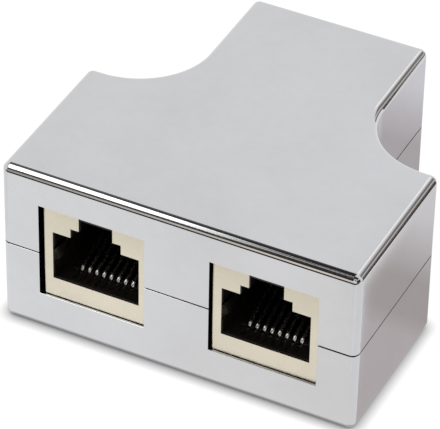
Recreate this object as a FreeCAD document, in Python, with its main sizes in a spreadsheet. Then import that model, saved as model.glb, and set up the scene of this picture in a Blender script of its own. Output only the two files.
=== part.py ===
import FreeCAD, Part
import Sketcher
import math
import os
from collections import namedtuple

# Ethernet T-adapter in millimetres: +Z up, the two-socket face towards -Y, the single socket towards +Y.
# The origin lies under the middle of the casing, on the face it rests on.
# Each jack is drawn in a frame of its own: X across it, Y from its front face inwards, Z up from the board.

DIMENSIONS = {
    "body_width": (48.7, "casing across the bar of the T"),
    "body_length": (47.0, "casing from the two-socket face to the single-socket face"),
    "body_height": (24.0, "casing from the resting face to the top"),
    "bar_depth": (23.2, "bar of the T from front to back"),
    "stem_width": (24.8, "stem of the T"),
    "shoulder_radius": (10.0, "hollow curve between bar and stem"),
    "edge_radius": (1.0, "outer edges of the casing"),
    "wall": (1.8, "casing wall"),
    "seam_height": (11.9, "parting plane between the shells"),
    "seam_chamfer": (0.1, "broken edge along the parting plane"),
    "lip_inset": (1.0, "outer wall left outside the tongue"),
    "lip_height": (1.2, "tongue above the parting plane"),
    "lip_gap": (0.1, "clearance round the tongue"),
    "window_pitch": (23.6, "between the middles of the front windows"),
    "window_width": (14.7, "window across"),
    "window_bottom": (5.45, "lower edge of a window"),
    "window_top": (19.3, "upper edge of a window"),
    "window_break": (0.06, "broken outer edge of a window"),
    "window_lip": (0.3, "thin rim of a window in front of the shield"),
    "seat_gap": (0.15, "room beside the shield behind that rim"),
    "post_half": (1.25, "half the side of a square joining post or sleeve"),
    "post_top": (11.4, "shoulder of a joining post"),
    "pin_half": (0.75, "half the side of a square press pin"),
    "pin_top": (16.0, "end of a press pin"),
    "pin_gap": (0.05, "clearance round a press pin"),
    "bore_top": (17.0, "end of a sleeve bore"),
    "bar_post_x": (21.2, "posts in the bar, from the middle"),
    "bar_post_y": (-15.0, "posts in the bar"),
    "stem_post_x": (9.3, "posts in the stem, from the middle"),
    "stem_post_y": (15.0, "posts in the stem"),
    "board_top": (5.5, "upper face of the circuit board"),
    "board_thick": (1.5, "circuit board"),
    "board_bar_width": (39.5, "board in the bar"),
    "board_bar_back": (-4.0, "back edge of the board in the bar"),
    "board_stem_width": (15.6, "board in the stem"),
    "board_margin": (2.4, "board edge behind the casing's faces"),
    "dowel_half": (0.9, "half the side of a square board dowel"),
    "dowel_gap": (0.1, "clearance round a board dowel"),
    "dowel_rise": (0.6, "dowel above the board"),
    "front_dowel_y": (-13.0, "dowel between the front jacks"),
    "back_dowel_y": (2.0, "dowel in front of the rear jack"),
    "jack_pitch": (23.37, "between the middles of the front jacks"),
    "jack_shift": (0.31, "front jacks sit off the middle of their windows"),
    "jack_recess": (0.4, "shield face behind the casing's face"),
    "sheet": (0.25, "shield sheet"),
    "sheet_bend": (0.25, "outer bend of the shield"),
    "sheet_gap": (0.03, "between shield and housing"),
    "shield_width": (14.6, "shield across"),
    "shield_depth": (17.8, "shield from front to back"),
    "shield_foot": (0.05, "shield above the board"),
    "shield_top": (13.55, "shield top above the board"),
    "port_width": (12.0, "plug opening"),
    "port_floor": (2.85, "lower edge of the plug opening"),
    "port_roof": (10.04, "upper edge of the plug opening's wide part"),
    "step_width": (7.0, "middle step of the opening"),
    "step_top": (11.42, "upper edge of the middle step"),
    "notch_width": (4.66, "latch notch"),
    "notch_top": (12.95, "roof of the latch notch in the housing"),
    "port_inset": (0.06, "housing opening inside the shield's"),
    "chamber_width": (8.2, "latch chamber behind the shoulders"),
    "shoulder_back": (1.9, "back of the latch shoulders"),
    "cavity_back": (12.6, "end of the plug cavity"),
    "sill_back": (2.75, "back of the sill under the opening"),
    "groove_width": (0.5, "groove in the sill in front of a contact"),
    "groove_depth": (0.25, "that groove"),
    "groove_front": (0.9, "front end of that groove"),
    "bay_width": (10.0, "housing bay for the contact carrier"),
    "bay_top": (8.4, "housing bay behind the cavity"),
    "carrier_gap": (0.05, "clearance round the carrier"),
    "tongue_top": (2.95, "comb ribs of the carrier"),
    "slot_width": (0.64, "slot for one contact"),
    "slot_floor": (1.3, "slot floor"),
    "tunnel_top": (2.0, "roof of the slot behind the comb"),
    "comb_depth": (0.95, "slot depth in the carrier's upright"),
    "tail_room": (0.3, "slot beside a tail"),
    "finger_low": (5.2, "lower edge of a shield finger"),
    "finger_high": (7.2, "upper edge of a shield finger"),
    "finger_room": (0.25, "housing recess round a finger"),
    "finger_recess": (0.55, "depth of that recess in a side wall"),
    "finger_reach": (4.2, "free end of a finger"),
    "finger_crest": (0.5, "how far its bow stands into the opening"),
    "finger_crest_y": (1.9, "its bow behind the face"),
    "finger_tip": (0.19, "how far its free end stands into the opening"),
    "leg_width": (1.4, "shield solder leg"),
    "leg_y": (9.6, "shield solder leg behind the face"),
    "leg_drop": (2.6, "shield leg below the board's top"),
    "leg_gap": (0.1, "board slot round a leg"),
    "rear_opening": (9.0, "shield open at the back below this"),
    "peg_radius": (1.0, "housing board peg"),
    "peg_gap": (0.08, "clearance round a peg"),
    "peg_spacing": (10.0, "between the pegs"),
    "peg_y": (6.9, "pegs behind the face"),
    "peg_drop": (2.2, "peg below the board's top"),
    "contact_pitch": (1.02, "between contacts"),
    "contact_width": (0.52, "contact across"),
    "contact_thick": (0.3, "contact stock"),
    "contact_run": (1.7, "contact above the board under the comb"),
    "contact_nose": (0.8, "bend at the front"),
    "contact_nose_y": (3.85, "middle of the front bend"),
    "contact_rise": (19.0, "slope of the sprung part in degrees"),
    "contact_end_y": (13.2, "free end of the sprung part"),
    "tail_first": (13.25, "front row of tails"),
    "tail_second": (15.79, "back row of tails"),
    "tail_drop": (3.0, "tail below the board's top"),
    "tail_hole": (0.42, "board hole for a tail"),
    "stem_rest_x": (6.2, "ribs under the board in the stem, from the middle"),
    "stem_rest_back": (5.0, "back end of those ribs"),
    "rib_thick": (1.2, "ribs inside the shells"),
    "rib_gap": (0.06, "rib above a jack"),
}

CONTACTS_PER_JACK = 8
NOSE_FACETS = 6

FRONT = "-dims.body_length / 2 + dims.jack_recess"
BACK = "dims.body_length / 2 - dims.jack_recess"
Jack = namedtuple("Jack", "name middle face turn")
JACKS = [
    Jack("left", "-dims.jack_pitch / 2 + dims.jack_shift", FRONT, 0),
    Jack("right", "dims.jack_pitch / 2 + dims.jack_shift", FRONT, 0),
    Jack("rear", "0", BACK, 180),
]

doc = FreeCAD.newDocument("t_adapter")
sheet = doc.addObject("Spreadsheet::Sheet", "dims")


def fill_sheet():
    for row, (alias, (value, note)) in enumerate(DIMENSIONS.items(), start=1):
        sheet.set(f"A{row}", note)
        sheet.set(f"B{row}", str(value))
        sheet.setAlias(f"B{row}", alias)
    doc.recompute()


fill_sheet()


def size(expression):
    return float(sheet.evalExpression(expression))


# Helpers for sketches and features

def new_body(label):
    body = doc.addObject("PartDesign::Body", label)
    body.Label = label
    return body


def new_sketch(body, name, plane, offset=None):
    sketch = body.newObject("Sketcher::SketchObject", name)
    support = [feature for feature in body.Origin.OriginFeatures if feature.Role == plane][0]
    sketch.AttachmentSupport = [(support, "")]
    sketch.MapMode = "FlatFace"
    if offset:
        sketch.setExpression("AttachmentOffset.Base.z", offset)
    return sketch


def bind(sketch, constraints, expressions):
    indices = sketch.addConstraint(constraints)
    for index, expression in zip(indices, expressions):
        sketch.setExpression(f"Constraints[{index}]", expression)


def hollow_arc(start, end, radius):
    # a curve that bends into the outline, whose corners run anticlockwise
    chord = end - start
    rise = math.sqrt(radius**2 - (chord.Length / 2) ** 2)
    side = FreeCAD.Vector(chord.y, -chord.x, 0).normalize()
    centre = (start + end) / 2 + side * rise
    first = math.atan2(end.y - centre.y, end.x - centre.x)
    last = math.atan2(start.y - centre.y, start.x - centre.x)
    circle = Part.Circle(centre, FreeCAD.Vector(0, 0, 1), radius)
    return Part.ArcOfCircle(circle, first, last)


def outline(sketch, corners, arcs=None):
    # a closed outline; arcs gives a radius for the sides, by number, that are hollow curves
    arcs = arcs or {}
    spots = [FreeCAD.Vector(size(x), size(y), 0) for x, y in corners]
    count = len(spots)
    sides = []
    for number in range(count):
        ends = spots[number], spots[(number + 1) % count]
        if number in arcs:
            sides.append(hollow_arc(*ends, size(arcs[number])))
        else:
            sides.append(Part.LineSegment(*ends))
    indices = sketch.addGeometry(sides, False)
    starts = [2 if number in arcs else 1 for number in range(count)]
    joins = []
    places = []
    expressions = []
    for number in range(count):
        after = (number + 1) % count
        end = 3 - starts[number]
        joins.append(Sketcher.Constraint("Coincident", indices[number], end, indices[after], starts[after]))
        for kind, value, text in zip(("DistanceX", "DistanceY"), spots[number], corners[number]):
            places.append(Sketcher.Constraint(kind, -1, 1, indices[number], starts[number], value))
            expressions.append(text)
    sketch.addConstraint(joins)
    for number, radius in arcs.items():
        places.append(Sketcher.Constraint("Radius", indices[number], size(radius)))
        expressions.append(radius)
    bind(sketch, places, expressions)


def rectangle(sketch, left, right, low, high):
    outline(sketch, [(left, low), (right, low), (right, high), (left, high)])


def squares(sketch, centres, half):
    for x, y in centres:
        rectangle(sketch, f"{x} - {half}", f"{x} + {half}", f"{y} - {half}", f"{y} + {half}")


def octagons(sketch, centres, radius):
    for x, y in centres:
        corners = []
        for turn in range(8):
            angle = f"({turn} + 1 / 2) * 45 deg"
            corners.append((f"{x} + {radius} * cos({angle})", f"{y} + {radius} * sin({angle})"))
        outline(sketch, corners)


def extrude(kind, body, name, sketch, length, backward=False, both_ways=False):
    feature = body.newObject(f"PartDesign::{kind}", name)
    feature.Profile = sketch
    feature.setExpression("Length", length)
    feature.Reversed = backward
    if both_ways:
        feature.SideType = "Symmetric"
    return feature


def pad(body, name, sketch, length, **options):
    return extrude("Pad", body, name, sketch, length, **options)


def pocket(body, name, sketch, length, **options):
    return extrude("Pocket", body, name, sketch, length, **options)


def edges_where(feature, test):
    doc.recompute()
    return [f"Edge{number}" for number, edge in enumerate(feature.Shape.Edges, start=1) if test(edge)]


def fillet(body, name, feature, edges, radius):
    rounded = body.newObject("PartDesign::Fillet", name)
    rounded.Base = (feature, edges)
    rounded.setExpression("Radius", radius)
    return rounded


def chamfer(body, name, feature, edges, length):
    broken = body.newObject("PartDesign::Chamfer", name)
    broken.Base = (feature, edges)
    broken.setExpression("Size", length)
    return broken


def is_level(edge, height):
    return all(abs(vertex.Z - height) < 1e-4 for vertex in edge.Vertexes)


def is_upright(edge):
    first, last = edge.Vertexes[0].Point, edge.Vertexes[-1].Point
    return (first - last).Length > 1e-4 and math.hypot(first.x - last.x, first.y - last.y) < 1e-4


# Casing

def t_outline(sketch, inset):
    half_bar = f"dims.body_width / 2 - {inset}"
    half_stem = f"dims.stem_width / 2 - {inset}"
    radius = f"dims.shoulder_radius + {inset}"
    front = f"-dims.body_length / 2 + {inset}"
    bar_back = f"-dims.body_length / 2 + dims.bar_depth - {inset}"
    back = f"dims.body_length / 2 - {inset}"
    corners = [
        (f"-({half_bar})", front),
        (half_bar, front),
        (half_bar, bar_back),
        (f"{half_stem} + {radius}", bar_back),
        (half_stem, f"{bar_back} + {radius}"),
        (half_stem, back),
        (f"-({half_stem})", back),
        (f"-({half_stem})", f"{bar_back} + {radius}"),
        (f"-({half_stem} + {radius})", bar_back),
        (f"-({half_bar})", bar_back),
    ]
    outline(sketch, corners, {3: radius, 7: radius})


def outer_corners():
    half_bar = size("dims.body_width / 2")
    half_stem = size("dims.stem_width / 2")
    half_length = size("dims.body_length / 2")
    bar_back = size("-dims.body_length / 2 + dims.bar_depth")
    spots = [(half_bar, -half_length), (half_bar, bar_back), (half_stem, half_length)]
    return spots + [(-x, y) for x, y in spots]


def rounded_block(body, low, length, rim):
    # the T as a solid block, with its corners and its rim at height rim rounded and its seam edge broken
    sketch = new_sketch(body, "outer_outline", "XY_Plane", low)
    t_outline(sketch, "0")
    block = pad(body, "block", sketch, length)
    corners = outer_corners()
    rim_height = size(rim)
    seam = size("dims.seam_height")

    def rounds(edge):
        spot = edge.Vertexes[0]
        at_corner = any(math.hypot(spot.X - x, spot.Y - y) < 1e-4 for x, y in corners)
        return is_level(edge, rim_height) or (is_upright(edge) and at_corner)

    rounded = fillet(body, "round_edges", block, edges_where(block, rounds), "dims.edge_radius")
    seam_edges = edges_where(rounded, lambda edge: is_level(edge, seam))
    return chamfer(body, "seam_break", rounded, seam_edges, "dims.seam_chamfer")


def cut_windows(body):
    middles = ["-dims.window_pitch / 2", "dims.window_pitch / 2"]
    front = new_sketch(body, "front_window_outlines", "XZ_Plane", "dims.body_length / 2")
    back = new_sketch(body, "back_window_outline", "XZ_Plane", "-dims.body_length / 2")
    half = "dims.window_width / 2"
    for middle in middles:
        rectangle(front, f"{middle} - {half}", f"{middle} + {half}", "dims.window_bottom", "dims.window_top")
    rectangle(back, f"-{half}", half, "dims.window_bottom", "dims.window_top")
    through = "2 * (dims.wall + dims.lip_gap)"
    pocket(body, "front_windows", front, through, both_ways=True)
    pocket(body, "back_window", back, through, both_ways=True)
    seats = shield_seats(body)
    half_length = size("dims.body_length / 2")
    seam = size("dims.seam_height")

    def at_face(edge):
        on_face = all(abs(abs(vertex.Y) - half_length) < 1e-4 for vertex in edge.Vertexes)
        centre = edge.CenterOfMass
        inside = size("dims.window_bottom") - 1e-3 < centre.z < size("dims.window_top") + 1e-3
        in_row = abs(centre.x) < size("dims.window_pitch / 2 + dims.window_width / 2") + 1e-3
        in_stem = abs(centre.x) < size("dims.window_width / 2") + 1e-3
        in_window = in_stem if centre.y > 0 else in_row
        return on_face and inside and in_window and abs(centre.z - seam) > size("2 * dims.seam_chamfer")

    chamfer(body, "window_break", seats, edges_where(seats, at_face), "dims.window_break")


def shield_seats(body):
    # behind its thin rim each window widens to the jack that stands there
    half = "(dims.shield_width / 2 + dims.seat_gap)"
    depth = "dims.wall + dims.lip_gap - dims.window_lip"
    rim = "dims.body_length / 2 - dims.window_lip"
    front = new_sketch(body, "front_seat_outlines", "XZ_Plane", rim)
    back = new_sketch(body, "back_seat_outline", "XZ_Plane", f"-({rim})")
    for jack in JACKS:
        sketch = back if jack.turn else front
        ends = f"{jack.middle} - {half}", f"{jack.middle} + {half}"
        rectangle(sketch, *ends, "dims.window_bottom", "dims.window_top")
    pocket(body, "front_seats", front, depth)
    return pocket(body, "back_seat", back, depth, backward=True)


def post_centres():
    spots = []
    for side in ("-", ""):
        spots.append((f"{side}dims.bar_post_x", "dims.bar_post_y"))
        spots.append((f"{side}dims.stem_post_x", "dims.stem_post_y"))
    return spots


def dowel_centres():
    return [("0", "dims.front_dowel_y"), ("0", "dims.back_dowel_y")]


def board_rests(sketch):
    # low ribs under the board, clear of the solder tails
    thick = "dims.rib_thick / 2"
    front = "-dims.body_length / 2 + dims.board_margin"
    back = "dims.body_length / 2 - dims.board_margin"
    reach = "dims.board_bar_width / 2"
    rectangle(sketch, f"-{reach}", reach, front, f"{front} + dims.rib_thick")
    rectangle(sketch, "-dims.stem_rest_x", "dims.stem_rest_x", f"{back} - dims.rib_thick", back)
    for side in ("-", ""):
        middle = f"{side}dims.stem_rest_x"
        ends = "dims.board_bar_back", "dims.stem_rest_back"
        rectangle(sketch, f"{middle} - {thick}", f"{middle} + {thick}", *ends)


def lower_shell():
    body = new_body("lower_shell")
    rounded_block(body, "0", "dims.seam_height", "0")
    inside = new_sketch(body, "inner_outline", "XY_Plane", "dims.seam_height")
    t_outline(inside, "dims.wall")
    pocket(body, "hollow", inside, "dims.seam_height - dims.wall")
    ring = new_sketch(body, "tongue_outline", "XY_Plane", "dims.seam_height")
    t_outline(ring, "dims.lip_inset")
    t_outline(ring, "dims.wall")
    pad(body, "tongue", ring, "dims.lip_height")
    cut_windows(body)
    rests = new_sketch(body, "rest_outlines", "XY_Plane", "dims.wall")
    board_rests(rests)
    pad(body, "board_rests", rests, "dims.board_top - dims.board_thick - dims.wall")
    dowels = new_sketch(body, "dowel_outlines", "XY_Plane", "dims.wall")
    squares(dowels, dowel_centres(), "dims.dowel_half")
    pad(body, "board_dowels", dowels, "dims.board_top + dims.dowel_rise - dims.wall")
    posts = new_sketch(body, "post_outlines", "XY_Plane", "dims.wall")
    squares(posts, post_centres(), "dims.post_half")
    pad(body, "posts", posts, "dims.post_top - dims.wall")
    pins = new_sketch(body, "pin_outlines", "XY_Plane", "dims.post_top")
    squares(pins, post_centres(), "dims.pin_half")
    pad(body, "pins", pins, "dims.pin_top - dims.post_top")
    return body


def hold_down_ribs(sketch):
    # one rib across each jack
    half = "dims.shield_width / 2 - dims.sheet_bend"
    thick = "dims.rib_thick / 2"
    depth = "dims.jack_recess + dims.shield_depth / 2"
    for middle in ("-dims.window_pitch / 2", "dims.window_pitch / 2"):
        line = f"-dims.body_length / 2 + {depth}"
        ends = f"{middle} - ({half})", f"{middle} + {half}"
        rectangle(sketch, *ends, f"{line} - {thick}", f"{line} + {thick}")
    line = f"dims.body_length / 2 - ({depth})"
    rectangle(sketch, f"-({half})", half, f"{line} - {thick}", f"{line} + {thick}")


def upper_shell():
    body = new_body("upper_shell")
    ceiling = "dims.body_height - dims.wall"
    rounded_block(body, "dims.seam_height", "dims.body_height - dims.seam_height", "dims.body_height")
    inside = new_sketch(body, "inner_outline", "XY_Plane", "dims.seam_height")
    t_outline(inside, "dims.wall")
    pocket(body, "hollow", inside, f"{ceiling} - dims.seam_height", backward=True)
    rebate = new_sketch(body, "rebate_outline", "XY_Plane", "dims.seam_height")
    t_outline(rebate, "(dims.lip_inset - dims.lip_gap)")
    pocket(body, "rebate", rebate, "dims.lip_height + dims.lip_gap", backward=True)
    cut_windows(body)
    ribs = new_sketch(body, "rib_outlines", "XY_Plane", ceiling)
    hold_down_ribs(ribs)
    jack_top = "dims.board_top + dims.shield_top"
    pad(body, "hold_down_ribs", ribs, f"{ceiling} - ({jack_top} + dims.rib_gap)", backward=True)
    sleeves = new_sketch(body, "sleeve_outlines", "XY_Plane", ceiling)
    squares(sleeves, post_centres(), "dims.post_half")
    pad(body, "sleeves", sleeves, f"{ceiling} - dims.post_top - dims.lip_gap", backward=True)
    bores = new_sketch(body, "bore_outlines", "XY_Plane", "dims.post_top")
    squares(bores, post_centres(), "(dims.pin_half + dims.pin_gap)")
    pocket(body, "bores", bores, "dims.bore_top - dims.post_top", backward=True)
    return body


# Jacks

def on_board(jack, x, y):
    # a place in a jack's own frame, as a place on the board
    sign = "-" if jack.turn else "+"
    return f"{jack.middle} {sign} ({x})", f"{jack.face} {sign} ({y})"


def seat(body, jack, across="0"):
    x, y = on_board(jack, across, "0")
    up = FreeCAD.Vector(0, 0, 1)
    body.Placement = FreeCAD.Placement(FreeCAD.Vector(), FreeCAD.Rotation(up, jack.turn))
    body.setExpression("Placement.Base.x", x)
    body.setExpression("Placement.Base.y", y)
    body.setExpression("Placement.Base.z", "dims.board_top")


def contact_across(number):
    return f"{number - (CONTACTS_PER_JACK - 1) / 2} * dims.contact_pitch"


def tail_row(number):
    return "dims.tail_second" if number % 2 else "dims.tail_first"


def stepped_port(sketch, inset, top):
    # the plug opening: wide part, middle step and latch notch
    wide = f"dims.port_width / 2 - {inset}"
    step = f"dims.step_width / 2 - {inset}"
    notch = f"dims.notch_width / 2 - {inset}"
    low = f"dims.port_floor + {inset}"
    roof = f"dims.port_roof - {inset}"
    step_top = f"dims.step_top - {inset}"
    right = [(wide, low), (wide, roof), (step, roof), (step, step_top), (notch, step_top), (notch, top)]
    left = [(f"-({x})", z) for x, z in reversed(right)]
    outline(sketch, right + left)


def finger(body, side):
    # a leaf folded in from the opening's edge, bowed towards the plug
    edge = "dims.port_width / 2"
    thick = "dims.sheet"
    crest = f"{edge} - dims.finger_crest"
    tip = f"{edge} - dims.finger_tip"
    corners = [
        (f"{edge} + {thick}", "0"),
        (f"{edge} + {thick}", thick),
        (f"{crest} + {thick}", "dims.finger_crest_y"),
        (f"{tip} + {thick}", "dims.finger_reach"),
        (tip, "dims.finger_reach"),
        (crest, "dims.finger_crest_y"),
        (edge, "0"),
    ]
    name = "right" if side > 0 else "left"
    sketch = new_sketch(body, f"{name}_finger_outline", "XY_Plane", "dims.finger_low")
    outline(sketch, [(f"{side} * ({x})", y) for x, y in corners][::-side])
    pad(body, f"{name}_finger", sketch, "dims.finger_high - dims.finger_low")


def shield(jack):
    body = new_body(f"{jack.name}_shield")
    half = "dims.shield_width / 2"
    plan = new_sketch(body, "plan", "XY_Plane", "dims.shield_foot")
    rectangle(plan, f"-{half}", half, "0", "dims.shield_depth")
    block = pad(body, "block", plan, "dims.shield_top - dims.shield_foot")
    fillet(body, "bends", block, edges_where(block, is_upright), "dims.sheet_bend")
    inside = new_sketch(body, "inside", "XY_Plane", "dims.shield_foot")
    inner = f"{half} - dims.sheet"
    rectangle(inside, f"-({inner})", inner, "dims.sheet", "dims.shield_depth - dims.sheet")
    height = "dims.shield_top - dims.sheet - dims.shield_foot"
    pocket(body, "hollow", inside, height, backward=True)
    port = new_sketch(body, "port_outline", "XZ_Plane")
    stepped_port(port, "0", "dims.shield_top + dims.sheet")
    pocket(body, "port", port, "2 * (dims.sheet + dims.sheet_bend)", both_ways=True)
    gate = new_sketch(body, "rear_opening_outline", "XZ_Plane", "-dims.shield_depth")
    rectangle(gate, f"-({inner})", inner, "0", "dims.rear_opening")
    pocket(body, "rear_opening", gate, "2 * (dims.sheet + dims.sheet_gap)", both_ways=True)
    legs = new_sketch(body, "leg_outlines", "XY_Plane", "dims.shield_foot")
    for side in ("-", ""):
        ends = [f"{side}({inner})", f"{side}{half}"]
        ends = ends[::-1] if side else ends
        rectangle(legs, *ends, "dims.leg_y - dims.leg_width / 2", "dims.leg_y + dims.leg_width / 2")
    pad(body, "legs", legs, "dims.leg_drop + dims.shield_foot", backward=True)
    finger(body, 1)
    finger(body, -1)
    seat(body, jack)
    return body


def housing(jack):
    body = new_body(f"{jack.name}_housing")
    half = "dims.shield_width / 2 - dims.sheet - dims.sheet_gap"
    front = "dims.sheet + dims.sheet_gap"
    back = "dims.shield_depth - dims.sheet - dims.sheet_gap"
    plan = new_sketch(body, "plan", "XY_Plane")
    rectangle(plan, f"-({half})", half, front, back)
    pad(body, "block", plan, "dims.shield_top - dims.sheet - dims.sheet_gap")
    mouth = new_sketch(body, "mouth_outline", "XZ_Plane")
    stepped_port(mouth, "dims.port_inset", "dims.notch_top")
    pocket(body, "mouth", mouth, "2 * dims.shoulder_back", both_ways=True)
    plug = new_sketch(body, "plug_outline", "XZ_Plane")
    wide = "dims.port_width / 2 - dims.port_inset"
    floor = "dims.port_floor + dims.port_inset"
    roof = "dims.port_roof - dims.port_inset"
    rectangle(plug, f"-({wide})", wide, floor, roof)
    pocket(body, "plug_cavity", plug, "2 * dims.cavity_back", both_ways=True)
    chamber = new_sketch(body, "chamber_plan", "XY_Plane", roof)
    reach = "dims.chamber_width / 2"
    rectangle(chamber, f"-{reach}", reach, "dims.shoulder_back", "dims.cavity_back")
    pocket(body, "latch_chamber", chamber, f"dims.notch_top - ({roof})", backward=True)
    bay = new_sketch(body, "bay_outline", "YZ_Plane")
    beyond = "dims.shield_depth"
    corners = [("dims.sill_back", "-dims.sheet"), (beyond, "-dims.sheet"), (beyond, "dims.bay_top")]
    corners += [("dims.cavity_back", "dims.bay_top"), ("dims.cavity_back", floor), ("dims.sill_back", floor)]
    outline(bay, corners)
    pocket(body, "carrier_bay", bay, "dims.bay_width", both_ways=True)
    grooves = new_sketch(body, "groove_outlines", "XY_Plane", floor)
    for number in range(CONTACTS_PER_JACK):
        middle = contact_across(number)
        ends = f"{middle} - dims.groove_width / 2", f"{middle} + dims.groove_width / 2"
        rectangle(grooves, *ends, "dims.groove_front", "dims.sill_back + dims.sheet")
    pocket(body, "sill_grooves", grooves, "dims.groove_depth")
    recess = new_sketch(body, "finger_recess_plan", "XY_Plane", "dims.finger_low - dims.finger_room")
    reach = "dims.port_width / 2 + dims.finger_recess"
    rectangle(recess, f"-({reach})", reach, "0", "dims.finger_reach + dims.finger_room")
    height = "dims.finger_high - dims.finger_low + 2 * dims.finger_room"
    pocket(body, "finger_recess", recess, height, backward=True)
    pegs = new_sketch(body, "peg_outlines", "XY_Plane")
    spots = [(f"{side}dims.peg_spacing / 2", "dims.peg_y") for side in ("-", "")]
    octagons(pegs, spots, "dims.peg_radius")
    pad(body, "pegs", pegs, "dims.peg_drop", backward=True)
    seat(body, jack)
    return body


def carrier(jack):
    body = new_body(f"{jack.name}_contact_carrier")
    gap = "dims.carrier_gap"
    front = f"dims.sill_back + {gap}"
    upright = f"dims.cavity_back + {gap}"
    back = f"dims.shield_depth - dims.sheet - dims.sheet_gap - {gap}"
    top = f"dims.bay_top - {gap}"
    side = new_sketch(body, "side_outline", "YZ_Plane")
    corners = [(front, gap), (back, gap), (back, top), (upright, top)]
    corners += [(upright, "dims.tongue_top"), (front, "dims.tongue_top")]
    outline(side, corners)
    pad(body, "block", side, f"dims.bay_width - 2 * {gap}", both_ways=True)
    comb = f"{upright} + dims.comb_depth"
    ahead = f"{front} - dims.tail_room"
    for number in range(CONTACTS_PER_JACK):
        tail = tail_row(number)
        before = f"{tail} - dims.tail_room"
        behind = f"{tail} + dims.tail_room"
        slot = new_sketch(body, f"slot_outline_{number + 1}", "YZ_Plane", contact_across(number))
        corners = [(ahead, "dims.slot_floor"), (before, "dims.slot_floor"), (before, "-dims.tail_room")]
        if size(behind) > size(comb):
            corners += [(behind, "-dims.tail_room"), (behind, "dims.tunnel_top"), (comb, "dims.tunnel_top")]
        else:
            corners += [(comb, "-dims.tail_room")]
        corners += [(comb, "dims.bay_top"), (ahead, "dims.bay_top")]
        outline(slot, corners)
        pocket(body, f"slot_{number + 1}", slot, "dims.slot_width", both_ways=True)
    seat(body, jack)
    return body


def contact_outline(sketch, tail):
    # tail, run under the comb, front bend and sprung part that rises to the back, seen from the side
    half = "dims.contact_thick / 2"
    rise = "(dims.contact_rise * 1 deg)"
    centre = ("dims.contact_nose_y", "dims.contact_run + dims.contact_nose")
    stretch = f"((dims.contact_end_y - dims.contact_nose_y) / cos({rise}) + dims.contact_nose * tan({rise}))"

    def bend(radius):
        spots = []
        for step in range(NOSE_FACETS + 1):
            turn = f"(270 deg - {step} / {NOSE_FACETS} * (180 deg - {rise}))"
            spots.append((f"{centre[0]} + {radius} * cos({turn})", f"{centre[1]} + {radius} * sin({turn})"))
        return spots

    def free_end(spot):
        return f"{spot[0]} + {stretch} * cos({rise})", f"{spot[1]} + {stretch} * sin({rise})"

    inner = bend(f"(dims.contact_nose - {half})")
    outer = bend(f"(dims.contact_nose + {half})")
    back = [(f"{tail} + {half}", "-dims.tail_drop"), (f"{tail} + {half}", f"dims.contact_run + {half}")]
    front = [(f"{tail} - {half}", f"dims.contact_run - {half}"), (f"{tail} - {half}", "-dims.tail_drop")]
    outline(sketch, back + inner + [free_end(inner[-1]), free_end(outer[-1])] + outer[::-1] + front)


def contact(jack, number):
    body = new_body(f"{jack.name}_contact_{number + 1}")
    side = new_sketch(body, "side_outline", "YZ_Plane")
    contact_outline(side, tail_row(number))
    pad(body, "wire", side, "dims.contact_width", both_ways=True)
    seat(body, jack, contact_across(number))
    return body


# Circuit board

def circuit_board():
    body = new_body("circuit_board")
    plan = new_sketch(body, "plan", "XY_Plane", "dims.board_top - dims.board_thick")
    bar = "dims.board_bar_width / 2"
    stem = "dims.board_stem_width / 2"
    front = "-dims.body_length / 2 + dims.board_margin"
    back = "dims.body_length / 2 - dims.board_margin"
    bend = "dims.board_bar_back"
    right = [(bar, front), (bar, bend), (stem, bend), (stem, back)]
    left = [(f"-{x}", y) for x, y in reversed(right)]
    outline(plan, right + left)
    pad(body, "sheet", plan, "dims.board_thick")
    holes = new_sketch(body, "hole_outlines", "XY_Plane", "dims.board_top")
    squares(holes, dowel_centres(), "(dims.dowel_half + dims.dowel_gap)")
    for jack in JACKS:
        pegs = [on_board(jack, f"{side}dims.peg_spacing / 2", "dims.peg_y") for side in ("-", "")]
        octagons(holes, pegs, "(dims.peg_radius + dims.peg_gap)")
        for side in ("-1", "1"):
            leg_slot(holes, jack, side)
    pocket(body, "holes", holes, "2 * dims.board_thick")
    for jack in JACKS:
        for number in range(CONTACTS_PER_JACK):
            tail_hole(body, jack, number)
    return body


def tail_hole(body, jack, number):
    name = f"{jack.name}_tail_hole_{number + 1}"
    sketch = new_sketch(body, f"{name}_outline", "XY_Plane", "dims.board_top")
    octagons(sketch, [on_board(jack, contact_across(number), tail_row(number))], "dims.tail_hole")
    pocket(body, name, sketch, "2 * dims.board_thick")


def leg_slot(sketch, jack, side):
    middle = f"{side} * (dims.shield_width - dims.sheet) / 2"
    x, y = on_board(jack, middle, "dims.leg_y")
    across = "(dims.sheet / 2 + dims.leg_gap)"
    along = "(dims.leg_width / 2 + dims.leg_gap)"
    rectangle(sketch, f"{x} - {across}", f"{x} + {across}", f"{y} - {along}", f"{y} + {along}")


# Build, check and write

def check(bodies):
    for item in doc.Objects:
        bad = [state for state in item.State if state in ("Invalid", "Error")]
        if bad:
            raise RuntimeError(f"{item.Label} of {item.Name} is {bad}")
    for body in bodies:
        shape = body.Shape
        if shape.isNull() or not shape.isValid() or len(shape.Solids) != 1:
            raise RuntimeError(f"{body.Label} is not one valid solid")
        for feature in body.Group:
            if feature.TypeId == "PartDesign::Pocket":
                if feature.Shape.Volume > feature.BaseFeature.Shape.Volume - 1e-6:
                    raise RuntimeError(f"{feature.Label} of {body.Label} cuts nothing")


def write(bodies):
    os.makedirs("parts", exist_ok=True)
    for body in bodies:
        body.Shape.exportStep(f"parts/{body.Label}.step")


bodies = [lower_shell(), upper_shell(), circuit_board()]
for jack in JACKS:
    bodies += [shield(jack), housing(jack), carrier(jack)]
    bodies += [contact(jack, number) for number in range(CONTACTS_PER_JACK)]
doc.recompute()
check(bodies)
write(bodies)
print(f"{len(bodies)} parts written")
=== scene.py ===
import math

import bmesh
import bpy
from mathutils import Matrix, Vector


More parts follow.
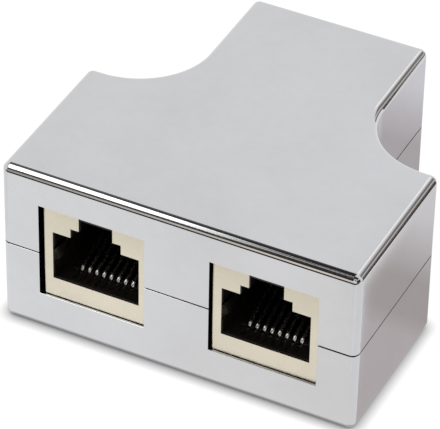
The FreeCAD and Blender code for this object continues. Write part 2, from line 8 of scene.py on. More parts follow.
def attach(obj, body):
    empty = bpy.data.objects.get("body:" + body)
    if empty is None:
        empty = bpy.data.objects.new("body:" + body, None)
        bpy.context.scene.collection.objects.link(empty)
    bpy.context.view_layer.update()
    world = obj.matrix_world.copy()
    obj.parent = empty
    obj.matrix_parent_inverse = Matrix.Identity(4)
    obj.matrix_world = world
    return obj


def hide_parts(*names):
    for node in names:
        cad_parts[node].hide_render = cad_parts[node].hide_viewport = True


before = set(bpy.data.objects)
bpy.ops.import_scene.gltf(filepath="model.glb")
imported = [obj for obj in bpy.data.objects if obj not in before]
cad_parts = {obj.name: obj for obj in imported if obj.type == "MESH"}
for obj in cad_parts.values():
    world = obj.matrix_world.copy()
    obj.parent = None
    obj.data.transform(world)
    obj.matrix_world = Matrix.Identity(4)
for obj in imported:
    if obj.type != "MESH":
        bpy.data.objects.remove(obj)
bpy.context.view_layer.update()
scene = bpy.context.scene
scene.view_settings.view_transform = "Standard"
mm = 0.001  # sizes below are in millimetres, angles in degrees
print("frame loaded:", len(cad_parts), "nodes")


# small helpers for meshes and nodes

def linkObject(name, data):
    obj = bpy.data.objects.new(name, data)
    scene.collection.objects.link(obj)
    return obj


def setMaterial(obj, material):
    obj.data.materials.clear()
    obj.data.materials.append(material)


def addObject(name, mesh, material):
    obj = linkObject(name, mesh)
    setMaterial(obj, material)
    return obj


def meshFrom(bm, name):
    bmesh.ops.recalc_face_normals(bm, faces=bm.faces)
    mesh = bpy.data.meshes.new(name)
    bm.to_mesh(mesh)
    bm.free()
    return mesh


def bakeModifiers(obj):
    # evaluated result becomes the plain mesh
    graph = bpy.context.evaluated_depsgraph_get()
    made = obj.evaluated_get(graph)
    mesh = bpy.data.meshes.new_from_object(made, preserve_all_data_layers=True, depsgraph=graph)
    obj.modifiers.clear()
    old = obj.data
    obj.data = mesh
    bpy.data.meshes.remove(old)


def smoothShade(obj, angle):
    # smooth, but sharp past the angle
    for poly in obj.data.polygons:
        poly.use_smooth = True
    obj.data.set_sharp_from_angle(angle=math.radians(angle))


def softenNormals(obj, angle):
    # smooth shading in which flats keep their own normals
    smoothShade(obj, angle)
    weighted = obj.modifiers.new("flatNormals", "WEIGHTED_NORMAL")
    weighted.mode = "FACE_AREA"
    weighted.weight = 100
    weighted.keep_sharp = True
    bakeModifiers(obj)


def addNode(tree, kind, x, y, **values):
    node = tree.nodes.new(kind)
    node.location = (x, y)
    for key, value in values.items():
        if key in node.inputs:
            node.inputs[key].default_value = value
        else:
            setattr(node, key, value)
    return node


def mixColour(tree, x, y, low, high):
    mix = addNode(tree, "ShaderNodeMix", x, y, data_type="RGBA")
    mix.inputs[6].default_value = (*low, 1)
    mix.inputs[7].default_value = (*high, 1)
    return mix


def mapFrom(tree, x, y, low, high):
    node = addNode(tree, "ShaderNodeMapRange", x, y)
    node.inputs["From Min"].default_value = low
    node.inputs["From Max"].default_value = high
    return node


def mapTo(tree, x, y, low, high):
    node = addNode(tree, "ShaderNodeMapRange", x, y)
    node.inputs["To Min"].default_value = low
    node.inputs["To Max"].default_value = high
    return node


def newMaterial(name):
    material = bpy.data.materials.new(name)
    material.use_nodes = True
    tree = material.node_tree
    return material, tree, tree.nodes["Principled BSDF"]


def newGroup(name, inputs, outputs):
    group = bpy.data.node_groups.new(name, "ShaderNodeTree")
    for label, kind, value in inputs:
        socket = group.interface.new_socket(label, in_out="INPUT", socket_type=kind)
        socket.default_value = value
    for label, kind in outputs:
        group.interface.new_socket(label, in_out="OUTPUT", socket_type=kind)
    start = addNode(group, "NodeGroupInput", -900, 0)
    end = addNode(group, "NodeGroupOutput", 700, 0)
    return group, start, end


def useGroup(tree, group, x, y, **values):
    node = addNode(tree, "ShaderNodeGroup", x, y)
    node.node_tree = group
    for label, value in values.items():
        node.inputs[label].default_value = value
    return node


# shared shader effects

clouds = {"fineShare": 0.35, "clearTo": 0.45, "fullFrom": 0.9}


def makeCloudGroup():
    # two sizes of cloudy patches and fine specks, as a 0 to 1 mask
    group, start, end = newGroup(
        "cloudyPatches",
        [("Broad", "NodeSocketFloat", 90.0), ("Fine", "NodeSocketFloat", 900.0)],
        [("Mask", "NodeSocketFloat"), ("Fine Mask", "NodeSocketFloat")],
    )
    coord = addNode(group, "ShaderNodeTexCoord", -900, 300)
    broad = addNode(group, "ShaderNodeTexNoise", -600, 200, Detail=3.0, Roughness=0.55)
    fine = addNode(group, "ShaderNodeTexNoise", -600, -100, Detail=4.0, Roughness=0.6)
    mix = addNode(group, "ShaderNodeMath", -350, 100, operation="MULTIPLY_ADD")
    mix.inputs[1].default_value = clouds["fineShare"]
    spread = mapFrom(group, -100, 100, clouds["clearTo"], clouds["fullFrom"])
    link = group.links.new
    link(coord.outputs["Object"], broad.inputs["Vector"])
    link(coord.outputs["Object"], fine.inputs["Vector"])
    link(start.outputs["Broad"], broad.inputs["Scale"])
    link(start.outputs["Fine"], fine.inputs["Scale"])
    link(fine.outputs["Fac"], mix.inputs[0])
    link(broad.outputs["Fac"], mix.inputs[2])
    link(mix.outputs[0], spread.inputs["Value"])
    link(spread.outputs["Result"], end.inputs["Mask"])
    link(fine.outputs["Fac"], end.inputs["Fine Mask"])
    return group


def makeGrainGroup():
    # stretched fine lines along one axis, as a height and a normal
    group, start, end = newGroup(
        "rolledGrain",
        [("Stretch", "NodeSocketVector", (300.0, 300.0, 6000.0)), ("Depth", "NodeSocketFloat", 0.1)],
        [("Height", "NodeSocketFloat"), ("Normal", "NodeSocketVector")],
    )
    coord = addNode(group, "ShaderNodeTexCoord", -900, 300)
    scale = addNode(group, "ShaderNodeVectorMath", -650, 200, operation="MULTIPLY")
    noise = addNode(group, "ShaderNodeTexNoise", -400, 200, Scale=1.0, Detail=3.0, Roughness=0.5)
    bump = addNode(group, "ShaderNodeBump", 100, 0, Distance=0.02 * mm)
    link = group.links.new
    link(coord.outputs["Object"], scale.inputs[0])
    link(start.outputs["Stretch"], scale.inputs[1])
    link(scale.outputs[0], noise.inputs["Vector"])
    link(noise.outputs["Fac"], bump.inputs["Height"])
    link(start.outputs["Depth"], bump.inputs["Strength"])
    link(noise.outputs["Fac"], end.inputs["Height"])
    link(bump.outputs["Normal"], end.inputs["Normal"])
    return group


cloudGroup = makeCloudGroup()
grainGroup = makeGrainGroup()


def addFinish(tree, finish):
    # the patches and grain of one finish, and its roughness
    broad, fine = finish["patches"]
    cloud = useGroup(tree, cloudGroup, -900, 100, Broad=broad, Fine=fine)
    grain = useGroup(tree, grainGroup, -900, -300, Stretch=finish["lines"], Depth=finish["depth"])
    rough = mapTo(tree, -500, -50, *finish["rough"])
    return cloud, grain, rough


def useFinish(tree, shader, colour, rough, grain):
    link = tree.links.new
    link(colour.outputs[2], shader.inputs["Base Color"])
    link(rough.outputs["Result"], shader.inputs["Roughness"])
    link(grain.outputs["Normal"], shader.inputs["Normal"])


# materials: colours, roughness from and to, patch sizes, grain lines and their depth

plating = {
    "clean": (0.614, 0.618, 0.636), "smudged": (0.574, 0.576, 0.590), "rough": (0.05, 0.11),
    "patches": (70.0, 700.0), "lines": (240.0, 240.0, 240.0), "depth": 0.06,
}


def makePlating():
    material, tree, shader = newMaterial("platedCasing")
    cloud, grain, rough = addFinish(tree, plating)
    colour = mixColour(tree, -500, 200, plating["clean"], plating["smudged"])
    link = tree.links.new
    link(cloud.outputs["Mask"], colour.inputs[0])
    link(cloud.outputs["Mask"], rough.inputs["Value"])
    useFinish(tree, shader, colour, rough, grain)
    shader.inputs["Metallic"].default_value = 1.0
    return material


nickel = {
    "bright": (0.710, 0.657, 0.541), "dull": (0.648, 0.595, 0.493), "rough": (0.24, 0.36),
    "patches": (150.0, 1600.0), "lines": (900.0, 900.0, 9000.0), "depth": 0.12,
    # inner, from innerFrom to innerTo mm off the middle: painted shade on the sheet behind a jack's face
    "inner": (0.300, 0.272, 0.225), "innerFrom": 22.95, "innerTo": 22.6,
}


def makeNickel():
    material, tree, shader = newMaterial("nickelSheet")
    cloud, grain, rough = addFinish(tree, nickel)
    colour = mixColour(tree, -500, 200, nickel["bright"], nickel["dull"])
    # painted shade: behind the face of a jack the sheet colour is mixed towards the darker inner colour,
    # standing in for the shade inside the opening
    coord = addNode(tree, "ShaderNodeTexCoord", -1200, 400)
    split = addNode(tree, "ShaderNodeSeparateXYZ", -1000, 400)
    depth = addNode(tree, "ShaderNodeMath", -800, 400, operation="ABSOLUTE")
    behind = mapFrom(tree, -600, 400, nickel["innerFrom"] * mm, nickel["innerTo"] * mm)
    recessShaded = mixColour(tree, -250, 250, nickel["bright"], nickel["inner"])
    link = tree.links.new
    link(coord.outputs["Object"], split.inputs[0])
    link(split.outputs["Y"], depth.inputs[0])
    link(depth.outputs[0], behind.inputs["Value"])
    link(behind.outputs["Result"], recessShaded.inputs[0])
    link(cloud.outputs["Mask"], colour.inputs[0])
    link(colour.outputs[2], recessShaded.inputs[6])
    link(grain.outputs["Height"], rough.inputs["Value"])
    useFinish(tree, shader, recessShaded, rough, grain)
    shader.inputs["Metallic"].default_value = 1.0
    return material


moulding = {
    "deep": (0.0082, 0.0065, 0.0053), "scuffed": (0.015, 0.012, 0.0098), "rough": (0.30, 0.46),
    "patches": (240.0, 2600.0), "lines": (5000.0, 5000.0, 5000.0), "depth": 0.15, "sheen": 0.38,
}


def makeMoulding():
    material, tree, shader = newMaterial("blackMoulding")
    cloud, grain, rough = addFinish(tree, moulding)
    colour = mixColour(tree, -500, 200, moulding["deep"], moulding["scuffed"])
    link = tree.links.new
    link(cloud.outputs["Mask"], colour.inputs[0])
    link(cloud.outputs["Fine Mask"], rough.inputs["Value"])
    useFinish(tree, shader, colour, rough, grain)
    shader.inputs["Specular IOR Level"].default_value = moulding["sheen"]
    return material


wireGold = {
    "gold": (0.640, 0.618, 0.565), "worn": (0.530, 0.520, 0.500), "rough": (0.20, 0.30),
    "patches": (500.0, 4000.0), "lines": (9000.0, 700.0, 9000.0), "depth": 0.08,
}


def makeWireGold():
    material, tree, shader = newMaterial("contactGold")
    cloud, grain, rough = addFinish(tree, wireGold)
    colour = mixColour(tree, -500, 200, wireGold["gold"], wireGold["worn"])
    link = tree.links.new
    link(cloud.outputs["Mask"], colour.inputs[0])
    link(cloud.outputs["Mask"], rough.inputs["Value"])
    useFinish(tree, shader, colour, rough, grain)
    shader.inputs["Metallic"].default_value = 1.0
    return material


laminate = {
    "mask": (0.012, 0.105, 0.045), "track": (0.030, 0.200, 0.085), "rough": (0.25, 0.38),
    "patches": (200.0, 1800.0), "lines": (2500.0, 2500.0, 2500.0), "depth": 0.10,
    "bands": 155.0, "bandEdge": (0.62, 0.68),
}


def makeLaminate():
    material, tree, shader = newMaterial("boardLaminate")
    cloud, grain, rough = addFinish(tree, laminate)
    coord = addNode(tree, "ShaderNodeTexCoord", -1200, 400)
    bands = addNode(tree, "ShaderNodeTexWave", -900, 400, Distortion=2.5, Detail=1.0)
    bands.inputs["Scale"].default_value = laminate["bands"]
    edge = mapFrom(tree, -700, 400, *laminate["bandEdge"])
    colour = mixColour(tree, -500, 250, laminate["mask"], laminate["track"])
    link = tree.links.new
    link(coord.outputs["Object"], bands.inputs["Vector"])
    link(bands.outputs["Fac"], edge.inputs["Value"])
    link(edge.outputs["Result"], colour.inputs[0])
    link(cloud.outputs["Mask"], rough.inputs["Value"])
    useFinish(tree, shader, colour, rough, grain)
    return material


platedCasing = makePlating()
nickelSheet = makeNickel()
blackMoulding = makeMoulding()
contactGold = makeWireGold()
boardLaminate = makeLaminate()
print("materials made")


# casing: two plated half shells with full round edges

casing = {
    "width": 48.7, "length": 47.0, "height": 24.0, "barDepth": 23.2, "stemWidth": 24.8,
    "shoulder": 10.0, "edge": 1.0, "wall": 1.8, "seam": 11.9, "seamBreak": 0.02, "seamGap": 0.1,
    "windowPitch": 23.6, "windowWidth": 14.7, "windowLow": 5.45, "windowHigh": 19.3, "windowBreak": 0.02,
    "lip": 0.3, "seatWidth": 14.9, "seatSpare": 0.1, "cutDepth": 3.0, "cutSpare": 1.0,
    "cornerSteps": 12, "shoulderSteps": 48, "roundSteps": 12, "sharpFrom": 32,
}

# middle of each jack's face and its turn about Z
jacks = {"left": (-11.375, -23.1, 0), "right": (11.995, -23.1, 0), "rear": (0.0, 23.1, 180)}
boardTop = 5.5


def arcPoints(cx, cy, radius, first, last, steps):
    turns = [math.radians(first + (last - first) * i / steps) for i in range(steps + 1)]
    return [(cx + radius * math.cos(t), cy + radius * math.sin(t)) for t in turns]


def casingOutline(inset, rounded=True):
    c = casing
    halfBar = c["width"] / 2 - inset
    halfStem = c["stemWidth"] / 2 - inset
    halfLength = c["length"] / 2 - inset
    barBack = -c["length"] / 2 + c["barDepth"] - inset
    edge = max(c["edge"] - inset, 0.0)
    hollow = c["shoulder"] + inset

    def corner(x, y, first):
        if not rounded:
            return [(x, y)]
        middle = math.radians(first + 45)
        cx = x - math.copysign(edge, math.cos(middle))
        cy = y - math.copysign(edge, math.sin(middle))
        return arcPoints(cx, cy, edge, first, first + 90, c["cornerSteps"])

    right = corner(halfBar, -halfLength, 270) + corner(halfBar, barBack, 0)
    right += arcPoints(halfStem + hollow, barBack + hollow, hollow, 270, 180, c["shoulderSteps"])
    right += corner(halfStem, halfLength, 0)
    left = [(-x, y) for x, y in reversed(right)]
    return right + left


def loftRings(rings):
    # rings are equal lists of points, closed, capped at both ends
    bm = bmesh.new()
    rows = [[bm.verts.new((x * mm, y * mm, z * mm)) for x, y, z in ring] for ring in rings]
    count = len(rows[0])
    for low, high in zip(rows, rows[1:]):
        for i in range(count):
            j = (i + 1) % count
            bm.faces.new((low[i], low[j], high[j], high[i]))
    bm.faces.new(reversed(rows[0]))
    bm.faces.new(rows[-1])
    bmesh.ops.remove_doubles(bm, verts=bm.verts, dist=1e-7)
    bmesh.ops.dissolve_degenerate(bm, dist=1e-8, edges=bm.edges)
    return bm


def ringAt(inset, z, rounded=True):
    return [(x, y, z) for x, y in casingOutline(inset, rounded)]


def halfShell(upper):
    c = casing
    sign = 1 if upper else -1
    seam = c["seam"] + sign * c["seamGap"]
    flat = c["height"] if upper else 0.0
    rings = [ringAt(c["seamBreak"], seam), ringAt(0.0, seam + sign * c["seamBreak"])]
    for i in range(c["roundSteps"] + 1):
        t = math.pi / 2 * i / c["roundSteps"]
        rings.append(ringAt(c["edge"] * (1 - math.cos(t)), flat - sign * c["edge"] * (1 - math.sin(t))))
    return loftRings(rings if upper else rings[::-1])


def hollowCutter(upper):
    c = casing
    if upper:
        low, high = c["seam"] - c["cutSpare"], c["height"] - c["wall"]
    else:
        low, high = c["wall"], c["seam"] + c["cutSpare"]
    return loftRings([ringAt(c["wall"], z, rounded=False) for z in (low, high)])


def boxRing(middle, half, y, low, high):
    left, right = middle - half, middle + half
    return [(left, y, low), (right, y, low), (right, y, high), (left, y, high)]


def windowCutter(middle, front):
    # a straight opening that flares over the last bit to break its outer edge
    c = casing
    sign = -1 if front else 1
    face = sign * c["length"] / 2
    stations = (
        (face - sign * c["cutDepth"], 0.0),
        (face - sign * c["windowBreak"], 0.0),
        (face, c["windowBreak"]),
        (face + sign * c["cutSpare"], c["windowBreak"] + c["cutSpare"]),
    )
    rings = []
    for y, grow in stations:
        half = c["windowWidth"] / 2 + grow
        rings.append(boxRing(middle, half, y, c["windowLow"] - grow, c["windowHigh"] + grow))
    return loftRings(rings)


def seatCutter(middle, front):
    # behind its thin rim the window widens to the jack that stands there
    c = casing
    sign = -1 if front else 1
    face = sign * c["length"] / 2
    half = c["seatWidth"] / 2
    low, high = c["windowLow"] - c["seatSpare"], c["windowHigh"] + c["seatSpare"]
    depths = (c["cutDepth"], c["lip"])
    return loftRings([boxRing(middle, half, face - sign * depth, low, high) for depth in depths])


def cutWith(obj, bm, name):
    cutter = linkObject(name, meshFrom(bm, name))
    cut = obj.modifiers.new(name, "BOOLEAN")
    cut.operation = "DIFFERENCE"
    cut.solver = "EXACT"
    cut.object = cutter
    bakeModifiers(obj)
    bpy.data.objects.remove(cutter)


def makeShell(upper):
    name = "casingUpper" if upper else "casingLower"
    shell = addObject(name, meshFrom(halfShell(upper), name), platedCasing)
    cutWith(shell, hollowCutter(upper), name + "Hollow")
    pitch = casing["windowPitch"] / 2
    for middle, front in ((-pitch, True), (pitch, True), (0.0, False)):
        cutWith(shell, windowCutter(middle, front), name + "Window")
    for middle, _, turn in jacks.values():
        cutWith(shell, seatCutter(middle, turn == 0), name + "Seat")
    setMaterial(shell, platedCasing)
    softenNormals(shell, casing["sharpFrom"])
    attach(shell, "root")
    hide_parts("upper_shell" if upper else "lower_shell")
    return shell


upperShell = makeShell(True)
lowerShell = makeShell(False)
print("casing made:", len(upperShell.data.polygons), len(lowerShell.data.polygons), "faces")


# jacks: rounded copies of the sheet and moulded pieces

jackRounds = {
    "shield": 0.07, "housing": 0.06, "carrier": 0.10, "steps": 2,
    "merge": 0.002, "flatTo": 1.5, "roundFrom": 35, "sharpFrom": 40,
}


def roundedCopy(node, name, width, material):
    # a merged copy of a CAD node, its sharp edges rounded
    j = jackRounds
    bm = bmesh.new()
    bm.from_mesh(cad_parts[node].data)
    bmesh.ops.remove_doubles(bm, verts=bm.verts, dist=j["merge"] * mm)
    bmesh.ops.dissolve_limit(bm, angle_limit=math.radians(j["flatTo"]), verts=bm.verts, edges=bm.edges)
    limit = math.radians(j["roundFrom"])
    sharp = [e for e in bm.edges if len(e.link_faces) == 2 and e.calc_face_angle(0) > limit]
    bmesh.ops.bevel(
        bm, geom=sharp, offset=width * mm, offset_type="OFFSET", segments=j["steps"], profile=0.5,
        affect="EDGES", clamp_overlap=True,
    )
    piece = addObject(name, meshFrom(bm, name), material)
    softenNormals(piece, j["sharpFrom"])
    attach(piece, "root")
    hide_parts(node)
    return piece


for side in jacks:
    roundedCopy(f"{side}_shield", f"{side}Shield", jackRounds["shield"], nickelSheet)
    roundedCopy(f"{side}_housing", f"{side}Housing", jackRounds["housing"], blackMoulding)
    carrier = f"{side}_contact_carrier"
    roundedCopy(carrier, f"{side}Carrier", jackRounds["carrier"], blackMoulding)
setMaterial(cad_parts["circuit_board"], boardLaminate)
print("jack shields and housings made")


# contacts: bent wires, eight in a row by geometry nodes

wire = {
    "pitch": 1.02, "pairs": 4, "width": 0.52, "thick": 0.30, "corner": 0.14,
    "tails": (13.25, 15.79), "tailDrop": 3.0, "tailEnd": 0.05, "run": 1.7, "bend": 0.35,
    "nose": 0.8, "noseY": 3.85, "rise": 19.0, "endY": 13.2, "stations": (0.25, 0.5, 0.75, 0.97, 1.0),
    "bendSteps": 8, "noseSteps": 20, "cornerSteps": 3, "sharpFrom": 45,
}


def wirePath(tailY):
    w = wire
    slope = math.tan(math.radians(w["rise"]))
    path = [(tailY, -w["tailDrop"]), (tailY, w["run"] - w["bend"] - w["tailEnd"])]
    path += arcPoints(tailY - w["bend"], w["run"] - w["bend"], w["bend"], 0, 90, w["bendSteps"])
    path += arcPoints(w["noseY"], w["run"] + w["nose"], w["nose"], 270, 90 + w["rise"], w["noseSteps"])
    crestY, crestZ = path[-1]
    reach = w["endY"] - crestY
    path += [(crestY + reach * t, crestZ + reach * t * slope) for t in w["stations"]]
    return path


def wireSection():
    w, t, r = wire["width"] / 2, wire["thick"] / 2, wire["corner"]
    points = []
    for x, z, first in ((w, t, 0), (-w, t, 90), (-w, -t, 180), (w, -t, 270)):
        cx, cz = x - math.copysign(r, x), z - math.copysign(r, z)
        points += arcPoints(cx, cz, r, first, first + 90, wire["cornerSteps"])
    return points


def makeWire(name, tailY):
    path = wirePath(tailY)
    section = wireSection()
    across = Vector((1, 0, 0))
    rings = []
    for i, (y, z) in enumerate(path):
        before, after = path[max(i - 1, 0)], path[min(i + 1, len(path) - 1)]
        along = Vector((0, after[0] - before[0], after[1] - before[1])).normalized()
        lift = along.cross(across)
        rings.append([tuple(Vector((0, y, z)) + across * a + lift * b) for a, b in section])
    obj = linkObject(name, meshFrom(loftRings(rings), name))
    smoothShade(obj, wire["sharpFrom"])
    return obj


def contactRowTree():
    # two rows of wires, every other one with its tail further back
    tree = bpy.data.node_groups.new("contactRow", "GeometryNodeTree")
    face = tree.interface
    face.new_socket("Geometry", in_out="INPUT", socket_type="NodeSocketGeometry")
    inputs = (
        ("Front Wire", "NodeSocketObject", None),
        ("Back Wire", "NodeSocketObject", None),
        ("Pairs", "NodeSocketInt", wire["pairs"]),
        ("Pitch", "NodeSocketFloat", wire["pitch"] * mm),
        ("Metal", "NodeSocketMaterial", None),
    )
    for label, kind, value in inputs:
        socket = face.new_socket(label, in_out="INPUT", socket_type=kind)
        if value is not None:
            socket.default_value = value
    face.new_socket("Geometry", in_out="OUTPUT", socket_type="NodeSocketGeometry")
    start = addNode(tree, "NodeGroupInput", -1000, 0)
    end = addNode(tree, "NodeGroupOutput", 900, 0)
    link = tree.links.new
    double = addNode(tree, "ShaderNodeMath", -750, 200, operation="MULTIPLY")
    double.inputs[1].default_value = 2.0
    step = addNode(tree, "ShaderNodeCombineXYZ", -550, 200)
    link(start.outputs["Pitch"], double.inputs[0])
    link(double.outputs[0], step.inputs["X"])
    join = addNode(tree, "GeometryNodeJoinGeometry", 300, 0)
    first = 0.5 - wire["pairs"]  # outermost wire, in pitches from the middle
    for label, place, y in (("Front Wire", first, 300), ("Back Wire", first + 1, -300)):
        shift = addNode(tree, "ShaderNodeMath", -750, y - 100, operation="MULTIPLY")
        shift.inputs[1].default_value = place
        origin = addNode(tree, "ShaderNodeCombineXYZ", -550, y - 100)
        line = addNode(tree, "GeometryNodeMeshLine", -300, y, mode="OFFSET", count_mode="TOTAL")
        info = addNode(tree, "GeometryNodeObjectInfo", -300, y - 250)
        spread = addNode(tree, "GeometryNodeInstanceOnPoints", 0, y)
        link(start.outputs["Pitch"], shift.inputs[0])
        link(shift.outputs[0], origin.inputs["X"])
        link(start.outputs["Pairs"], line.inputs["Count"])
        link(origin.outputs[0], line.inputs["Start Location"])
        link(step.outputs[0], line.inputs["Offset"])
        link(start.outputs[label], info.inputs["Object"])
        link(line.outputs["Mesh"], spread.inputs["Points"])
        link(info.outputs["Geometry"], spread.inputs["Instance"])
        link(spread.outputs["Instances"], join.inputs[0])
    real = addNode(tree, "GeometryNodeRealizeInstances", 500, 0)
    paint = addNode(tree, "GeometryNodeSetMaterial", 700, 0)
    link(join.outputs[0], real.inputs[0])
    link(real.outputs[0], paint.inputs["Geometry"])
    link(start.outputs["Metal"], paint.inputs["Material"])
    link(paint.outputs[0], end.inputs[0])
    return tree


def makeContacts():
    frontWire = makeWire("frontWire", wire["tails"][0])
    backWire = makeWire("backWire", wire["tails"][1])
    values = {
        "Front Wire": frontWire, "Back Wire": backWire,
        "Pairs": wire["pairs"], "Pitch": wire["pitch"] * mm, "Metal": contactGold,
    }
    tree = contactRowTree()
    sockets = {s.name: s.identifier for s in tree.interface.items_tree if s.in_out == "INPUT"}
    for side, (x, y, turn) in jacks.items():
        row = addObject(f"{side}Contacts", bpy.data.meshes.new(f"{side}Contacts"), contactGold)
        made = row.modifiers.new("contactRow", "NODES")
        made.node_group = tree
        for label, value in values.items():
            made[sockets[label]] = value
        bakeModifiers(row)
        turned = Matrix.Rotation(math.radians(turn), 4, "Z")
        row.data.transform(Matrix.Translation((x * mm, y * mm, boardTop * mm)) @ turned)
        setMaterial(row, contactGold)
        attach(row, "root")
        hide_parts(*[f"{side}_contact_{n}" for n in range(1, 9)])
    for helper in (frontWire, backWire):
        bpy.data.objects.remove(helper)


makeContacts()
print("contacts made")


# floor, light and camera

studio = {
    "floorSize": 3000, "floorColour": (0.93, 0.93, 0.93), "floorWhite": 0.92, "floorGlow": 1.06,
    "worldWhite": 1.0, "worldFill": 0.62,
    "lampPlace": (-262, -360, 500), "lampSize": (160, 705), "lampTurn": -10.5, "lampPower": 0.78,
    "contactReach": 1.6,
}

# glowing cards that only mirror-like surfaces see, painted reflections of light and shade around the
# casing: middle, size, turn about X and Z in degrees, colour
cards = {
    "backFlag": ((-203.2, 199.2, 494), (270, 425), (0, -10.5), (0.030, 0.028, 0.027)),
    "topFlag": ((-178, -388.1, 495), (90, 970), (0, -10.5), (0.030, 0.026, 0.024)),
    "frontWedge": ((-166.3, -550, 494.5), (200, 640), (0, -22.3), (0.030, 0.026, 0.024)),
    "backWedge": ((-140.4, -28.9, 494.2), (120, 300), (0, 30.7), (0.030, 0.026, 0.024)),
    "leftFlag": ((-399.7, -334, 495), (120, 970), (0, -10.5), (0.060, 0.056, 0.054)),
    "rightFlag": ((200, -270, 494.8), (600, 360), (0, 0), (0.050, 0.046, 0.044)),
    "sideFlag": ((538, -307, 200), (620, 400), (90, 65.7), (0.050, 0.045, 0.040)),
    "cornerFloor": ((265, -122.5, 0.2), (310, 135), (0, 0), (0.050, 0.045, 0.040)),
    "cornerWall": ((195, -600, 375), (270, 250), (90, 0), (0.050, 0.045, 0.040)),
    "frontFlag": ((-295, -600, 312), (370, 328), (90, 0), (0.110, 0.104, 0.098)),
    "warmStrip": ((-295, -601, 81), (370, 134), (90, 0), (0.360, 0.335, 0.310)),
    "warmFloor": ((-160, -366, 0.3), (230, 500), (0, -17.6), (0.360, 0.335, 0.310)),
    "floorFlag": ((8, -88.5, 0.5), (205, 71), (0, 0), (0.040, 0.038, 0.036)),
    "rimStrip": ((-15, 560, 590), (125, 240), (90, 0), (1.5, 1.48, 1.46)),
    "brownPanel": ((370, 520, 450), (420, 380), (90, -35), (0.250, 0.232, 0.222)),
    "pinkLine": ((370, 520, 130), (420, 260), (90, -35), (0.085, 0.076, 0.070)),
    "rimFloor": ((38.4, 3, 0.2), (7.2, 54), (0, 0), (0.880, 0.850, 0.850)),
    # mauveCard, nearMauve and stemCard: painted shadow of the casing on the floor beside it, seen only in
    # its mirror-like sides
    "mauveCard": ((29.1, 15, 0.2), (11.4, 30), (0, 0), (0.513, 0.468, 0.461)),
    "nearMauve": ((29.1, -12, 0.2), (11.4, 24), (0, 0), (0.610, 0.560, 0.564)),
    "stemCard": ((17.8, 38, 0.15), (16.4, 36), (0, 0), (0.578, 0.538, 0.545)),
    "frontFloor": ((-6, -38.3, 0.2), (66, 28.6), (0, 0), (1.105, 1.112, 1.105)),
    "darkFloor": ((198.1, 181.9, 0.2), (70, 418), (0, -40), (0.085, 0.076, 0.070)),
    "edgeWhite": ((56.8, -23.1, 0.35), (60, 40), (0, -22.0), (0.980, 0.980, 0.980)),
}

# cards that change along X or Y: far colour, and where the change starts and ends from the card's middle
cardFade = {
    "backFlag": ("X", (0.150, 0.148, 0.144), 75, -25),
    "topFlag": ("X", (1.30, 1.29, 1.26), -9, -45),
    "frontWedge": ("X", (1.30, 1.29, 1.26), -80, -100),
    "backWedge": ("X", (1.30, 1.29, 1.26), -45, -60),
    "frontFlag": ("X", (0.030, 0.026, 0.022), 5, 115),
    "warmStrip": ("X", (0.980, 0.890, 0.770), -5, 120),
    "warmFloor": ("X", (0.980, 0.890, 0.770), -19, 71),
    "brownPanel": ("Y", (1.0, 1.0, 1.0), -30, 170),
    "pinkLine": ("Y", (0.720, 0.670, 0.630), -45, -15),
    "mauveCard": ("Y", (0.820, 0.795, 0.810), -8.5, 4.5),
    "nearMauve": ("Y", (0.513, 0.468, 0.461), 8, 12),
    "stemCard": ("Y", (0.860, 0.845, 0.885), -5, 8),
    "frontFloor": ("X", (0.990, 0.978, 0.965), -33, 33),
}


def planeMesh(name, width, depth):
    bm = bmesh.new()
    x, y = width * mm / 2, depth * mm / 2
    bm.faces.new([bm.verts.new(p) for p in ((-x, -y, 0), (x, -y, 0), (x, y, 0), (-x, y, 0))])
    mesh = bpy.data.meshes.new(name)
    bm.to_mesh(mesh)
    bm.free()
    return mesh


def directRays(tree):
    # 1 for what is seen straight, mirrored or through something clear, else 0
    path = addNode(tree, "ShaderNodeLightPath", -900, 300)
    seen = addNode(tree, "ShaderNodeMath", -650, 300, operation="MAXIMUM")
    through = addNode(tree, "ShaderNodeMath", -450, 300, operation="MAXIMUM")
    link = tree.links.new
    link(path.outputs["Is Camera Ray"], seen.inputs[0])
    link(path.outputs["Is Glossy Ray"], seen.inputs[1])
    link(seen.outputs[0], through.inputs[0])
    link(path.outputs["Is Transmission Ray"], through.inputs[1])
    return through.outputs[0]


def floorMaterial():
    # white glow where it is looked at, with a painted contact shadow from ambient occlusion close to the
    # casing, plain matt for the light it throws back
    material, tree, shader = newMaterial("paleFloor")
    tree.nodes.remove(shader)
    share = addNode(tree, "ShaderNodeMath", -250, 300, operation="MULTIPLY")
    share.inputs[1].default_value = studio["floorWhite"]
    matt = addNode(tree, "ShaderNodeBsdfDiffuse", -250, 0, Color=(*studio["floorColour"], 1))
    near = addNode(tree, "ShaderNodeAmbientOcclusion", -700, -200, Distance=studio["contactReach"] * mm)
    level = mapTo(tree, -450, -200, 0.0, studio["floorGlow"])
    white = addNode(tree, "ShaderNodeEmission", -250, -200, Color=(1, 1, 1, 1))
    mix = addNode(tree, "ShaderNodeMixShader", 0, 100)
    link = tree.links.new
    link(near.outputs["AO"], level.inputs["Value"])
    link(level.outputs["Result"], white.inputs["Strength"])
    link(directRays(tree), share.inputs[0])
    link(share.outputs[0], mix.inputs[0])
    link(matt.outputs[0], mix.inputs[1])
    link(white.outputs[0], mix.inputs[2])
    link(mix.outputs[0], tree.nodes["Material Output"].inputs["Surface"])
    return material


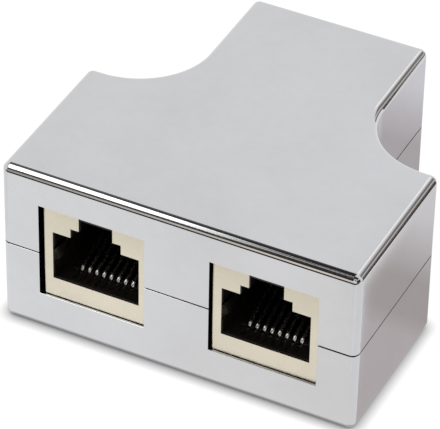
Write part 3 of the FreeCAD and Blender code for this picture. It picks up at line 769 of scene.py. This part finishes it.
def cardMaterial(name, colour):
    material, tree, shader = newMaterial(name)
    tree.nodes.remove(shader)
    glow = addNode(tree, "ShaderNodeEmission", -200, 0, Color=(*colour, 1), Strength=1.0)
    link = tree.links.new
    link(glow.outputs[0], tree.nodes["Material Output"].inputs["Surface"])
    if name in cardFade:
        axis, far, first, last = cardFade[name]
        coord = addNode(tree, "ShaderNodeTexCoord", -1000, 0)
        split = addNode(tree, "ShaderNodeSeparateXYZ", -800, 0)
        ramp = mapFrom(tree, -600, 0, first * mm, last * mm)
        mix = mixColour(tree, -400, 0, colour, far)
        link(coord.outputs["Object"], split.inputs[0])
        link(split.outputs[axis], ramp.inputs["Value"])
        link(ramp.outputs["Result"], mix.inputs[0])
        link(mix.outputs[2], glow.inputs["Color"])
    return material


def makeFloor():
    size = studio["floorSize"]
    floor = addObject("floor", planeMesh("floor", size, size), floorMaterial())


def makeCards():
    for name, (middle, size, turn, colour) in cards.items():
        card = addObject(name, planeMesh(name, *size), cardMaterial(name, colour))
        card.location = Vector(middle) * mm
        card.rotation_euler = (math.radians(turn[0]), 0, math.radians(turn[1]))
        card.visible_camera = False
        card.visible_diffuse = False
        card.visible_transmission = False
        card.visible_shadow = False


def makeWorld():
    world = bpy.data.worlds.new("softWorld")
    scene.world = world
    world.use_nodes = True
    tree = world.node_tree
    back = tree.nodes["Background"]
    back.inputs["Color"].default_value = (1, 1, 1, 1)
    level = mapTo(tree, -250, 300, studio["worldFill"], studio["worldWhite"])
    tree.links.new(directRays(tree), level.inputs["Value"])
    tree.links.new(level.outputs["Result"], back.inputs["Strength"])


def makeLamp():
    data = bpy.data.lights.new("overheadSoftbox", "AREA")
    data.shape = "RECTANGLE"
    data.size, data.size_y = (v * mm for v in studio["lampSize"])
    data.energy = studio["lampPower"]
    lamp = linkObject("overheadSoftbox", data)
    lamp.location = Vector(studio["lampPlace"]) * mm
    lamp.rotation_euler = (0, 0, math.radians(studio["lampTurn"]))


photo = {
    "place": (147.485, -315.697, 283.162), "lens": 283.87, "sensor": 36.0,
    "right": (0.8941, 0.4476, 0.0159), "up": (-0.2884, 0.5481, 0.7851), "clipFrom": 10,
}


def makeCamera():
    data = bpy.data.cameras.new("photoCamera")
    data.sensor_width = photo["sensor"]
    data.lens = photo["lens"]
    data.clip_start = photo["clipFrom"] * mm
    right = Vector(photo["right"]).normalized()
    back = right.cross(Vector(photo["up"])).normalized()
    up = back.cross(right)
    turn = Matrix((right, up, back)).transposed().to_4x4()
    camera = linkObject("photoCamera", data)
    camera.matrix_world = Matrix.Translation(Vector(photo["place"]) * mm) @ turn
    scene.camera = camera


makeFloor()
makeCards()
makeWorld()
makeLamp()
makeCamera()
print("studio and camera set")
